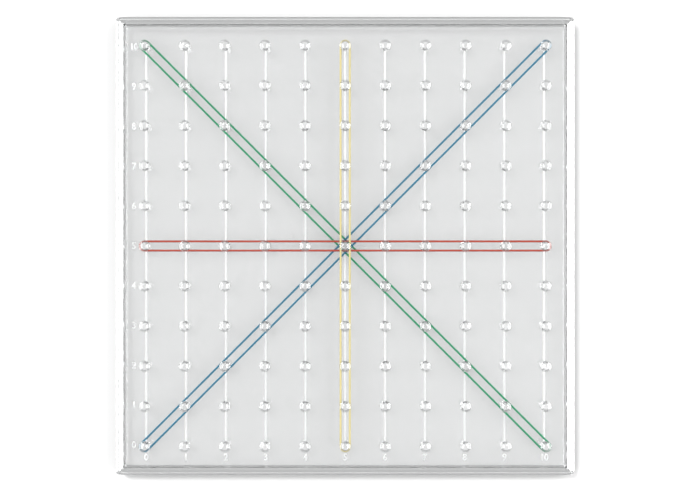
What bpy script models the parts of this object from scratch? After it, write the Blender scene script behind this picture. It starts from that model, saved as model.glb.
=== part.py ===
"""Clear square peg board with four elastic bands stretched between its pegs.

The board is a shallow tray with a low rim and a square field of mushroom-headed pegs.
It is one moulding, held here as the tray and one strip of pegs for each row, so that the
spaces between the pegs stay open. The four bands lie one above the other on the peg necks
and lift off upwards, each carrying the bands above it.

Frame: metres, +Z up, origin at the centre of the underside. Row 0 is at -Y, column 0 at -X.
"""

import math

import bmesh
import bpy

# Peg field
PITCH = 0.020
PEGS_PER_SIDE = 11
PEG_SIDES = 8

# Board
BOARD_SIDE = 0.228
BOARD_HEIGHT = 0.010
PLATE_THICKNESS = 0.0022
RIM_WIDTH = 0.0040
CORNER_RADIUS = 0.0015
POCKET_RADIUS = 0.001
RIM_EDGE_ROUND = 0.0006

# Peg
NECK_RADIUS = 0.00155
HEAD_RADIUS = 0.00275
CROWN_RADIUS = 0.0012
HEAD_HEIGHT = 0.0018
UNDERCUT_HEIGHT = 0.0006
SHOULDER_HEIGHT = 0.0011

# Moulded line that joins the pegs of a row
LINE_WIDTH = 0.0010
LINE_HEIGHT = 0.0004

# Bands
BAND_RADIUS = 0.00045
BAND_TURN_STEPS = 8
BAND_TUBE_RESOLUTION = 2
GAP = 0.0003

FIELD = PITCH * (PEGS_PER_SIDE - 1)
HALF_FIELD = FIELD / 2
ROW_BASE = PLATE_THICKNESS + GAP
LINE_TOP = ROW_BASE + LINE_HEIGHT
BAND_TURN_RADIUS = NECK_RADIUS + GAP + BAND_RADIUS
FIRST_BAND_LEVEL = LINE_TOP + GAP + BAND_RADIUS
BAND_SPACING = 2 * BAND_RADIUS + GAP

# Each band, lowest first: name, sRGB colour, and the (column, row) of its two end pegs
LAST = PEGS_PER_SIDE - 1
MIDDLE = LAST // 2
BANDS = (
    ("band_green", (0.10, 0.58, 0.33), (0, LAST), (LAST, 0)),
    ("band_blue", (0.10, 0.38, 0.62), (0, 0), (LAST, LAST)),
    ("band_red", (0.84, 0.20, 0.14), (0, MIDDLE), (LAST, MIDDLE)),
    ("band_yellow", (0.96, 0.86, 0.36), (MIDDLE, 0), (MIDDLE, LAST)),
)
CLEAR_COLOUR = (0.88, 0.90, 0.90)


def clear_scene():
    for thing in list(bpy.data.objects):
        bpy.data.objects.remove(thing, do_unlink=True)


def new_collection(name):
    group = bpy.data.collections.new(name)
    bpy.context.scene.collection.children.link(group)
    return group


def new_object(name, data, group, location=(0, 0, 0)):
    made = bpy.data.objects.new(name, data)
    made.location = location
    group.objects.link(made)
    return made


def linear(value):
    return value / 12.92 if value <= 0.04045 else ((value + 0.055) / 1.055) ** 2.4


def new_material(name, srgb, roughness, transmission=0.0):
    made = bpy.data.materials.new(name)
    made.use_nodes = True
    shader = made.node_tree.nodes["Principled BSDF"]
    shader.inputs["Base Color"].default_value = (*(linear(c) for c in srgb), 1)
    shader.inputs["Metallic"].default_value = 0.0
    shader.inputs["Roughness"].default_value = roughness
    shader.inputs["Transmission Weight"].default_value = transmission
    return made


def block(name, size, base, corner_radius, corner_steps):
    """A box standing on z = base, with its four upright edges rounded."""
    mesh = bpy.data.meshes.new(name)
    shape = bmesh.new()
    bmesh.ops.create_cube(shape, size=1)
    bmesh.ops.scale(shape, vec=size, verts=shape.verts)
    bmesh.ops.translate(shape, vec=(0, 0, base + size[2] / 2), verts=shape.verts)
    if corner_radius:
        upright = [e for e in shape.edges if abs(e.verts[0].co.z - e.verts[1].co.z) > size[2] / 2]
        bmesh.ops.bevel(
            shape, geom=upright, offset=corner_radius, segments=corner_steps, profile=0.5, affect="EDGES"
        )
    shape.to_mesh(mesh)
    shape.free()
    return mesh


def hide_cutter(cutter):
    cutter.display_type = "WIRE"
    cutter.hide_render = True


def add_boolean(target, operand, operation):
    cut = target.modifiers.new(operation.lower(), "BOOLEAN")
    cut.operation = operation
    cut.solver = "EXACT"
    cut.object = operand
    hide_cutter(operand)


def make_tray(parts, cutters, plastic):
    """The flat plate and the rim round it: a rounded block with a shallow pocket."""
    outer = block("tray", (BOARD_SIDE, BOARD_SIDE, BOARD_HEIGHT), 0, CORNER_RADIUS, 3)
    outer.materials.append(plastic)
    tray = new_object("board_tray", outer, parts)
    inside = BOARD_SIDE - 2 * RIM_WIDTH
    pocket = block(
        "pocket", (inside, inside, BOARD_HEIGHT), PLATE_THICKNESS, POCKET_RADIUS, 2
    )
    add_boolean(tray, new_object("tray_pocket", pocket, cutters), "DIFFERENCE")
    edges = tray.modifiers.new("rim edges", "BEVEL")
    edges.width = RIM_EDGE_ROUND
    edges.segments = 2
    edges.limit_method = "ANGLE"
    edges.angle_limit = math.radians(50)
    return tray


def peg_profile():
    """Radius and height down the outer side of one peg, from its crown to its foot."""
    top = BOARD_HEIGHT
    under_head = top - HEAD_HEIGHT
    return (
        (0, top),
        (CROWN_RADIUS, top),
        (HEAD_RADIUS, top - SHOULDER_HEIGHT),
        (HEAD_RADIUS, under_head + UNDERCUT_HEIGHT),
        (NECK_RADIUS, under_head),
        (NECK_RADIUS, ROW_BASE),
        (0, ROW_BASE),
    )


def make_row_mesh(cutters, plastic):
    """One strip: a low moulded line with a peg on it at every column."""
    points = [(radius, 0, height) for radius, height in peg_profile()]
    steps = [(i, i + 1) for i in range(len(points) - 1)]
    profile = bpy.data.meshes.new("peg_profile")
    profile.from_pydata(points, steps, [])
    pegs = new_object("row_of_pegs", profile, cutters, (-HALF_FIELD, 0, 0))
    turn = pegs.modifiers.new("turn", "SCREW")
    turn.steps = PEG_SIDES
    turn.render_steps = PEG_SIDES
    turn.use_merge_vertices = True
    turn.merge_threshold = 0.00005
    turn.use_smooth_shade = False
    repeat = pegs.modifiers.new("columns", "ARRAY")
    repeat.count = PEGS_PER_SIDE
    repeat.use_relative_offset = False
    repeat.use_constant_offset = True
    repeat.constant_offset_displace = (PITCH, 0, 0)

    line = block("row_line", (FIELD, LINE_WIDTH, LINE_HEIGHT), ROW_BASE, 0, 0)
    strip = new_object("row_line", line, cutters)
    add_boolean(strip, pegs, "UNION")
    bpy.context.view_layer.update()
    finished = strip.evaluated_get(bpy.context.evaluated_depsgraph_get())
    mesh = bpy.data.meshes.new_from_object(finished)
    mesh.name = "peg_row"
    mesh.materials.clear()
    mesh.materials.append(plastic)
    bpy.data.objects.remove(strip, do_unlink=True)
    return mesh


def make_peg_rows(parts, cutters, plastic, tray):
    """Every row shares one mesh and stands on its own line of the field."""
    mesh = make_row_mesh(cutters, plastic)
    for row in range(PEGS_PER_SIDE):
        strip = new_object(f"peg_row_{row:02d}", mesh, parts, (0, row * PITCH - HALF_FIELD, 0))
        strip.parent = tray


def band_route(length):
    """Points of a closed loop along X round two pegs that are length apart."""
    points = []
    for centre, start in ((length / 2, -math.pi / 2), (-length / 2, math.pi / 2)):
        for step in range(BAND_TURN_STEPS + 1):
            angle = start + math.pi * step / BAND_TURN_STEPS
            x = centre + BAND_TURN_RADIUS * math.cos(angle)
            points.append((x, BAND_TURN_RADIUS * math.sin(angle)))
    return points


def make_band(name, srgb, first, last, level, parts):
    """One elastic band, a round cord in a closed loop about its two end pegs."""
    run_x = (last[0] - first[0]) * PITCH
    run_y = (last[1] - first[1]) * PITCH
    curve = bpy.data.curves.new(name, "CURVE")
    curve.dimensions = "3D"
    curve.bevel_depth = BAND_RADIUS
    curve.bevel_resolution = BAND_TUBE_RESOLUTION
    route = band_route(math.hypot(run_x, run_y))
    spline = curve.splines.new("POLY")
    spline.points.add(len(route) - 1)
    for point, (x, y) in zip(spline.points, route):
        point.co = (x, y, 0, 1)
    spline.use_cyclic_u = True
    curve.materials.append(new_material(name, srgb, 0.55))
    centre_x = (first[0] + last[0]) / 2 * PITCH - HALF_FIELD
    centre_y = (first[1] + last[1]) / 2 * PITCH - HALF_FIELD
    band = new_object(name, curve, parts, (centre_x, centre_y, level))
    band.rotation_euler.z = math.atan2(run_y, run_x)
    return band


def make_bands(parts):
    """Each band rests above the one before it, and rides with it when that one is lifted."""
    below = None
    for index, (name, srgb, first, last) in enumerate(BANDS):
        level = FIRST_BAND_LEVEL + index * BAND_SPACING
        band = make_band(name, srgb, first, last, level, parts)
        bpy.context.view_layer.update()
        if below:
            band.parent = below
            band.matrix_parent_inverse = below.matrix_world.inverted()
        below = band


def main():
    clear_scene()
    parts = new_collection("peg_board_with_bands")
    cutters = new_collection("cutters")
    plastic = new_material("clear_styrene", CLEAR_COLOUR, 0.08, 0.9)
    tray = make_tray(parts, cutters, plastic)
    make_peg_rows(parts, cutters, plastic, tray)
    make_bands(parts)


main()
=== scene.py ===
import math

import bmesh
import bpy
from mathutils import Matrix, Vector


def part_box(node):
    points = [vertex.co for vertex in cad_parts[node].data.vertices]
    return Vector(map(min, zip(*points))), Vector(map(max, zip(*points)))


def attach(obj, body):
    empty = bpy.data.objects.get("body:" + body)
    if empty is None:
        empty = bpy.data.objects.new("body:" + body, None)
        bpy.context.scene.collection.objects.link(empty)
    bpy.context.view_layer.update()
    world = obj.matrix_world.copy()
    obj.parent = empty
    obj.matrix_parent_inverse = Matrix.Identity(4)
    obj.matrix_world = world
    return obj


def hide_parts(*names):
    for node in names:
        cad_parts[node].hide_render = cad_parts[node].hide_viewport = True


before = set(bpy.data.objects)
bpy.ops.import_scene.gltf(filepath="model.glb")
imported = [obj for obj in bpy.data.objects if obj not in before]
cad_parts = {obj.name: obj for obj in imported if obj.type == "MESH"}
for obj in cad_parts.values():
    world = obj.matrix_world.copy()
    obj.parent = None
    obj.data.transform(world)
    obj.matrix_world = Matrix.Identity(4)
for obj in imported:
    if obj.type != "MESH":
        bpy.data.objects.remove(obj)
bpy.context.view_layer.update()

MM = 0.001

# ---------------------------------------------------------------------------------------
# The studio: a white paper sweep under the board, a softbox low at the left and one at the
# right, and a dim room. The board is looked at from straight above.
# ---------------------------------------------------------------------------------------


def from_hex(colour):
    """An sRGB hex colour as linear red, green and blue."""
    values = [int(colour[i:i + 2], 16) / 255 for i in (1, 3, 5)]
    return [v / 12.92 if v <= 0.04045 else ((v + 0.055) / 1.055) ** 2.4 for v in values]


def add_node(tree, kind, settings=None, links=None):
    """Adds one node, sets its properties or input values, and links outputs to its inputs."""
    node = tree.nodes.new(kind)
    for name, value in (settings or {}).items():
        if isinstance(name, int) or name in node.inputs:
            node.inputs[name].default_value = value
        else:
            setattr(node, name, value)
    for name, output in (links or {}).items():
        tree.links.new(output, node.inputs[name])
    return node


def new_material(name):
    """An empty node material and its output node."""
    made = bpy.data.materials.new(name)
    made.use_nodes = True
    made.node_tree.nodes.clear()
    return made, made.node_tree, add_node(made.node_tree, "ShaderNodeOutputMaterial")


def link_object(name, data):
    """An object for data, linked into the scene."""
    made = bpy.data.objects.new(name, data)
    bpy.context.scene.collection.objects.link(made)
    return made


CAMERA_HEIGHT = 705 * MM
CAMERA_FOCAL = 71.9
CAMERA_OFF_CENTRE = (2.4 * MM, -2.0 * MM)
FLOOR_DROP = 0.05 * MM

lens = bpy.data.cameras.new("camera")
lens.lens = CAMERA_FOCAL
lens.sensor_width = 36
lens.clip_start = 10 * MM
camera = link_object("camera", lens)
camera.location = (*CAMERA_OFF_CENTRE, CAMERA_HEIGHT)
bpy.context.scene.camera = camera


SOFTBOX_SIDE = 1.10
SOFTBOX_OUT = 0.72
SOFTBOX_UP = 0.52
SOFTBOX_AIM = Vector((0, 0, 0.10))


def facing(direction):
    """The turn that points a light's beam along direction."""
    return direction.to_track_quat("-Z", "Y").to_euler()


for name, side, watts in (("softbox_left", -1, 20), ("softbox_right", 1, 24)):
    softbox = bpy.data.lights.new(name, "AREA")
    softbox.size = SOFTBOX_SIDE
    softbox.energy = watts
    light = link_object(name, softbox)
    light.location = (side * SOFTBOX_OUT, 0, SOFTBOX_UP)
    light.rotation_euler = facing(SOFTBOX_AIM - light.location)

key = bpy.data.lights.new("key_light", "SUN")
key.angle = math.radians(14)
key.energy = 4.2
key_light = link_object("key_light", key)
key_light.rotation_euler = facing(Vector((1, -1, -2.7)))

# The room is darkest near the floor. Seen straight, it is as pale as the paper.
world = bpy.data.worlds.new("room")
world.use_nodes = True
dim = world.node_tree.nodes["Background"]
dim.inputs["Color"].default_value = (*from_hex("#f3f3f3"), 1)
level = add_node(world.node_tree, "ShaderNodeTexCoord")
height = add_node(world.node_tree, "ShaderNodeSeparateXYZ", None, {0: level.outputs["Generated"]})
lift = add_node(
    world.node_tree, "ShaderNodeMapRange",
    {"From Min": 0.20, "From Max": 0.36, "To Min": 0.74, "To Max": 0.92},
    {"Value": height.outputs["Z"]},
)
world.node_tree.links.new(lift.outputs["Result"], dim.inputs["Strength"])
pale = add_node(world.node_tree, "ShaderNodeBackground", {"Color": (*from_hex("#f4f5f5"), 1)})
ray = add_node(world.node_tree, "ShaderNodeLightPath")
around = add_node(
    world.node_tree, "ShaderNodeMixShader", None,
    {0: ray.outputs["Is Camera Ray"], 1: dim.outputs["Background"], 2: pale.outputs["Background"]},
)
surroundings = world.node_tree.nodes["World Output"]
world.node_tree.links.new(around.outputs["Shader"], surroundings.inputs["Surface"])
bpy.context.scene.world = world
bpy.context.scene.view_settings.view_transform = "Standard"

# White paper: matt all over, so the light from both sides lies on it evenly.
paper, tree, output = new_material("matt_paper")
shader = add_node(
    tree, "ShaderNodeBsdfPrincipled",
    {"Base Color": (*from_hex("#999999"), 1), "Roughness": 0.9, "Specular IOR Level": 0.2},
)
tree.links.new(shader.outputs["BSDF"], output.inputs["Surface"])
sweep_mesh = bpy.data.meshes.new("paper_sweep")
grid = bmesh.new()
bmesh.ops.create_grid(grid, x_segments=8, y_segments=8, size=3)
grid.to_mesh(sweep_mesh)
grid.free()
sweep_mesh.materials.append(paper)
sweep = link_object("paper_sweep", sweep_mesh)
sweep.location.z = -FLOOR_DROP

# ---------------------------------------------------------------------------------------
# The board: one injection moulding in crystal-clear polystyrene. Plate, rim, mushroom pegs,
# the raised lines that join them and the raised numbers 0 to 10 all come out of one mould.
# ---------------------------------------------------------------------------------------
PEGS = 11
PITCH = 20 * MM
HALF_FIELD = PITCH * (PEGS - 1) / 2
BOARD_HALF, _, BOARD_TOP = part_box("board_tray")[1]
PLATE_TOP = 2.2 * MM
OUTER_CORNER = 1.6 * MM
INNER_CORNER = 0.9 * MM
CORNER_STEPS = 8
OUTER_WALL = 0.45 * MM
PEG_SIDES = 28
ROOT = 0.3 * MM
NUMBER_HEIGHT = 3.4 * MM
NUMBER_RELIEF = 0.45 * MM
NUMBER_ROUNDING = 0.18 * MM
NUMBER_OUT = 6.2 * MM
FIGURE_SHARE = 0.7  # of a font's size that a figure is tall
LINE_HALF_WIDTH = 0.40 * MM
LINE_RELIEF = 0.11 * MM


def arc(centre, radius, start, end, steps):
    """Points (across, up) along an arc, angles in degrees."""
    turns = [math.radians(start + (end - start) * i / steps) for i in range(steps + 1)]
    return [(centre[0] + radius * math.cos(t), centre[1] + radius * math.sin(t)) for t in turns]


def loft(shape, rings):
    """Joins closed rings of points, first to last, and closes both ends."""
    rows = [[shape.verts.new(point) for point in ring] for ring in rings]
    for low, high in zip(rows, rows[1:]):
        for i in range(len(low)):
            j = (i + 1) % len(low)
            shape.faces.new((low[i], low[j], high[j], high[i]))
    shape.faces.new(list(reversed(rows[0])))
    shape.faces.new(rows[-1])


def rounded_square(half, radius, height):
    """A ring round a square with rounded corners."""
    ring = []
    for quarter in range(4):
        middle = math.pi / 4 + quarter * math.pi / 2
        centre_x = math.copysign(half - radius, math.cos(middle))
        centre_y = math.copysign(half - radius, math.sin(middle))
        for step in range(CORNER_STEPS + 1):
            angle = (quarter + step / CORNER_STEPS) * math.pi / 2
            x = centre_x + radius * math.cos(angle)
            y = centre_y + radius * math.sin(angle)
            ring.append((x, y, height))
    return ring


def tray_rings():
    """The board's section, in mm in from its edge and up: a groove under the rim whose sloping
    roof mirrors the sides of the room, the outer wall, the rim and the wall down to the plate."""
    top = BOARD_TOP / MM
    plate = PLATE_TOP / MM
    section = [(2.95, 0.0), (3.15, 2.38), (3.1, 2.42), (1.9, 1.52), (0.85, 0.75), (0.12, 0.0)]
    section += [(0.0, 0.12)]
    section += arc((0.3, top - 0.15), 0.15, 180, 90, 4)
    section += arc((3.4, top - 0.12), 0.12, 90, 0, 4)
    section += arc((4.05, plate + 0.12), 0.12, 180, 270, 3)
    rings = []
    for inset, height in section:
        radius = max(OUTER_CORNER / MM - inset, INNER_CORNER / MM)
        rings.append(rounded_square(BOARD_HALF - inset * MM, radius * MM, height * MM))
    return rings


def peg_section():
    """Radius and height in mm up one peg: foot fillet, neck, lip, dome and small flat crown."""
    top = BOARD_TOP / MM
    plate = PLATE_TOP / MM
    up = [(2.3, plate - ROOT / MM)]
    up += arc((2.3, plate + 0.7), 0.7, 270, 180, 5)
    lip_and_dome = (
        (1.6, 1.4), (1.62, 1.2), (1.72, 1.06), (1.9, 1.04), (2.25, 1.18),
        (2.5, 1.32), (2.6, 1.34), (2.7, 1.28), (2.74, 1.15), (2.74, 0.95),
        (2.7, 0.83), (2.6, 0.75), (2.2, 0.57), (1.8, 0.4), (1.45, 0.25),
        (1.15, 0.12), (0.98, 0.04), (0.85, 0.008), (0.7, 0.0),
    )
    up += [(radius, top - below) for radius, below in lip_and_dome]
    return up


def peg_ring(centre, radius, height):
    """A ring of points round one peg."""
    turns = [2 * math.pi * i / PEG_SIDES for i in range(PEG_SIDES)]
    x, y = centre
    return [(x + radius * math.cos(t), y + radius * math.sin(t), height) for t in turns]


def mesh_object(name, build, matt=False):
    """An object whose mesh is filled by build, with both finishes of the plastic."""
    shape = bmesh.new()
    build(shape)
    mesh = bpy.data.meshes.new(name)
    bmesh.ops.recalc_face_normals(shape, faces=shape.faces)
    shape.to_mesh(mesh)
    shape.free()
    mesh.materials.append(glossy)
    mesh.materials.append(painted_highlight_matt)
    for face in mesh.polygons:
        face.material_index = 1 if matt else 0
    return link_object(name, mesh)


def build_tray(shape):
    loft(shape, tray_rings())


def build_pegs(shape):
    section = peg_section()
    for row in range(PEGS):
        for column in range(PEGS):
            centre = (column * PITCH - HALF_FIELD, row * PITCH - HALF_FIELD)
            loft(shape, [peg_ring(centre, r * MM, z * MM) for r, z in section])


def line_bar(shape, place, along_x):
    """One raised line: a low bar with a rounded back from the first peg to the last."""
    back = [(-LINE_HALF_WIDTH, PLATE_TOP - ROOT)]
    for step in range(7):
        across = math.cos(math.pi * (1 - step / 6))
        back.append((LINE_HALF_WIDTH * across, PLATE_TOP + LINE_RELIEF * (1 - across ** 2)))
    back.append((LINE_HALF_WIDTH, PLATE_TOP - ROOT))
    ends = []
    for end in (-HALF_FIELD, HALF_FIELD):
        if along_x:
            ends.append([(end, place + across, up) for across, up in back])
        else:
            ends.append([(place + across, end, up) for across, up in back])
    loft(shape, ends)


def build_row_lines(shape):
    for row in range(PEGS):
        line_bar(shape, row * PITCH - HALF_FIELD, True)


def build_column_lines(shape):
    for column in range(PEGS):
        line_bar(shape, column * PITCH - HALF_FIELD, False)


def mesh_of(made):
    """A new mesh of an object as its modifiers or its bevel leave it."""
    bpy.context.view_layer.update()
    return bpy.data.meshes.new_from_object(made.evaluated_get(bpy.context.evaluated_depsgraph_get()))


def number_object(text, centre):
    """A raised figure, centred on a point of the plate."""
    figure = bpy.data.curves.new("number_" + text, "FONT")
    figure.body = text
    figure.size = NUMBER_HEIGHT / FIGURE_SHARE
    figure.extrude = (NUMBER_RELIEF + 0.1 * MM) / 2
    figure.bevel_depth = NUMBER_ROUNDING
    figure.bevel_resolution = 2
    figure.offset = -0.10 * MM
    figure.align_x = "CENTER"
    figure.align_y = "CENTER"
    figure.resolution_u = 5
    made = link_object(figure.name, figure)
    made.scale.x = 0.85
    made.location = (*centre, PLATE_TOP + NUMBER_RELIEF / 2 - NUMBER_ROUNDING)
    return made


def build_numbers(shape):
    """The figures 0 to 10 up the left side and along the near side."""
    for value in range(PEGS):
        place = value * PITCH - HALF_FIELD
        for centre in ((-HALF_FIELD - NUMBER_OUT, place), (place, -HALF_FIELD - NUMBER_OUT)):
            figure = number_object(str(value), centre)
            mesh = mesh_of(figure)
            mesh.transform(figure.matrix_world)
            shape.from_mesh(mesh)
            curve = figure.data
            bpy.data.objects.remove(figure, do_unlink=True)
            bpy.data.curves.remove(curve)
            bpy.data.meshes.remove(mesh)
    bmesh.ops.remove_doubles(shape, verts=shape.verts, dist=0.001 * MM)


def polystyrene(name, roughness, clarity):
    """Crystal polystyrene: clear as water, hardly tinted, with long faint ripples from its flow
    in the mould, 22 mm from crest to crest."""
    made, tree, output = new_material(name)
    place = add_node(tree, "ShaderNodeTexCoord")
    flow = add_node(
        tree, "ShaderNodeTexNoise", {"Scale": 45.0, "Detail": 2.0}, {"Vector": place.outputs["Object"]}
    )
    ripple = add_node(
        tree, "ShaderNodeBump", {"Strength": 0.02, "Distance": 0.4 * MM},
        {"Height": flow.outputs["Fac"]},
    )
    shader = add_node(
        tree, "ShaderNodeBsdfPrincipled",
        {
            "Base Color": (*from_hex("#dadbdb"), 1), "Roughness": roughness, "IOR": 1.59,
            "Transmission Weight": clarity,
        },
        {"Normal": ripple.outputs["Normal"]},
    )
    # What a shadow ray meets: nearly clear plastic, greyer where it is steep, and dark where light from
    # outside enters the outer wall, which bends some of it away; that dark tint paints the drop shadow.
    light = add_node(tree, "ShaderNodeLightPath")
    grazing = add_node(tree, "ShaderNodeLayerWeight", {"Blend": 0.5})
    steep = add_node(
        tree, "ShaderNodeMath", {"operation": "POWER", 1: 2.5}, {0: grazing.outputs["Facing"]}
    )
    apart = add_node(
        tree, "ShaderNodeVectorMath", {"operation": "ABSOLUTE"}, {0: place.outputs["Object"]}
    )
    axes = add_node(tree, "ShaderNodeSeparateXYZ", None, {0: apart.outputs["Vector"]})
    out_from_centre = add_node(
        tree, "ShaderNodeMath", {"operation": "MAXIMUM"}, {0: axes.outputs["X"], 1: axes.outputs["Y"]}
    )
    outer_wall = add_node(
        tree, "ShaderNodeMath", {"operation": "GREATER_THAN", 1: BOARD_HALF - OUTER_WALL},
        {0: out_from_centre.outputs[0]},
    )
    side = add_node(tree, "ShaderNodeNewGeometry")
    from_outside = add_node(
        tree, "ShaderNodeMath", {"operation": "SUBTRACT"},
        {0: outer_wall.outputs[0], 1: side.outputs["Backfacing"]},
    )
    passed = add_node(tree, "ShaderNodeMix", {"data_type": "RGBA"}, {"Factor": steep.outputs[0]})
    passed.inputs[6].default_value = (*from_hex("#fbfbfb"), 1)
    passed.inputs[7].default_value = (*from_hex("#b4b4b4"), 1)
    painted_drop_shadow = add_node(
        tree, "ShaderNodeMix", {"data_type": "RGBA", "clamp_factor": True},
        {"Factor": from_outside.outputs[0], 6: passed.outputs[2]},
    )
    # Painted shadow: this dark tint sets the drop shadow on the paper outside the board.
    painted_drop_shadow.inputs[7].default_value = (*from_hex("#303032"), 1)
    clear = add_node(tree, "ShaderNodeBsdfTransparent", None, {"Color": painted_drop_shadow.outputs[2]})
    either = add_node(
        tree, "ShaderNodeMath", {"operation": "MAXIMUM"},
        {0: light.outputs["Is Shadow Ray"], 1: light.outputs["Is Diffuse Ray"]},
    )
    mixed = add_node(
        tree, "ShaderNodeMixShader", None,
        {0: either.outputs[0], 1: shader.outputs["BSDF"], 2: clear.outputs["BSDF"]},
    )
    tree.links.new(mixed.outputs["Shader"], output.inputs["Surface"])
    return made


# Where the mould is polished the plastic is glossy. The column lines and the numbers get a matt,
# slightly less clear copy that looks white: a painted highlight for the side lamps catching them.
glossy = polystyrene("crystal_polystyrene", 0.02, 1.0)
painted_highlight_matt = polystyrene("painted_highlight_matt_polystyrene", 0.30, 0.945)

board = mesh_object("board_moulding", build_tray)
# The pieces overlap, so they are fused into one skin with nothing inside it.
for name, build, matt in (
    ("pegs", build_pegs, False),
    ("row_lines", build_row_lines, False),
    # Painted highlight: the column lines take the matt copy that looks white, the row lines stay
    # glossy.
    ("column_lines", build_column_lines, True),
    ("numbers", build_numbers, True),
):
    piece = mesh_object(name, build, matt)
    union = board.modifiers.new(name, "BOOLEAN")
    union.operation = "UNION"
    union.solver = "MANIFOLD"
    union.object = piece
fused = mesh_of(board)
for union in list(board.modifiers):
    helper = union.object
    board.modifiers.remove(union)
    bpy.data.objects.remove(helper, do_unlink=True)
fused.shade_smooth()
fused.set_sharp_from_angle(angle=math.radians(32))
board.data = fused
firm = board.modifiers.new("flat faces stay flat", "WEIGHTED_NORMAL")
firm.keep_sharp = True
firm.weight = 100

# The thin bands throw no hard shadow of the key light: only the board does.
blocks_the_key = bpy.data.collections.new("blocks_the_key")
blocks_the_key.objects.link(board)
key_light.light_linking.blocker_collection = blocks_the_key
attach(board, "board")
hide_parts("board_tray", *[f"peg_row_{row:02d}" for row in range(PEGS)])

# ---------------------------------------------------------------------------------------
# The elastic bands: thin round loops of coloured rubber, each stretched between two pegs
# on opposite sides of the board. They lie one over the other on the necks of the pegs.
# ---------------------------------------------------------------------------------------
BAND_RADIUS = 0.48 * MM
CAD_BAND_RADIUS = 0.45 * MM
BAND_TURN = 2.3 * MM
TURN_STEPS = 20


def rubber(name, colour):
    """Thin extruded rubber, dusted with talc: matt, with a fine powder of about 1 mm specks, drawn
    coarser than it is so that it shows."""
    made, tree, output = new_material(name)
    place = add_node(tree, "ShaderNodeTexCoord")
    powder = add_node(
        tree, "ShaderNodeTexNoise", {"Scale": 900.0, "Detail": 3.0}, {"Vector": place.outputs["Object"]}
    )
    tone = add_node(tree, "ShaderNodeMix", {"data_type": "RGBA"}, {"Factor": powder.outputs["Fac"]})
    tone.inputs[6].default_value = (*[c * 0.8 for c in from_hex(colour)], 1)
    tone.inputs[7].default_value = (*from_hex(colour), 1)
    grain = add_node(
        tree, "ShaderNodeBump", {"Strength": 0.25, "Distance": 0.03 * MM},
        {"Height": powder.outputs["Fac"]},
    )
    shader = add_node(
        tree, "ShaderNodeBsdfPrincipled",
        {"Roughness": 0.55, "Specular IOR Level": 0.2},
        {"Base Color": tone.outputs[2], "Normal": grain.outputs["Normal"]},
    )
    tree.links.new(shader.outputs["BSDF"], output.inputs["Surface"])
    return made


def band_place(node):
    """How high the CAD band lies, and half the way between the pegs that it goes round."""
    low, high = (Vector(corner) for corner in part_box(node))
    ends = 2 * (BAND_TURN + CAD_BAND_RADIUS)
    span = high - low
    return (low.z + high.z) / 2, math.hypot(max(span.x - ends, 0), max(span.y - ends, 0)) / 2


for colour_name, colour, heading in (
    ("green", "#07583a", -45),
    ("blue", "#0c4558", 45),
    ("red", "#6e2418", 0),
    ("yellow", "#887f55", 90),
):
    node = "band_" + colour_name
    level, reach = band_place(node)
    curve = bpy.data.curves.new(colour_name + "_elastic", "CURVE")
    curve.dimensions = "3D"
    curve.bevel_depth = BAND_RADIUS
    curve.bevel_resolution = 4
    route = []
    for centre, start in ((reach, -90), (-reach, 90)):
        route += arc((centre, 0), BAND_TURN, start, start + 180, TURN_STEPS)
    spline = curve.splines.new("POLY")
    spline.points.add(len(route) - 1)
    cosine, sine = math.cos(math.radians(heading)), math.sin(math.radians(heading))
    for point, (x, y) in zip(spline.points, route):
        point.co = (x * cosine - y * sine, x * sine + y * cosine, level, 1)
    spline.use_cyclic_u = True
    band = link_object(colour_name + "_elastic", curve)
    curve.materials.append(rubber("rubber_" + colour_name, colour))
    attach(band, colour_name + "_band")
    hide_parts(node)
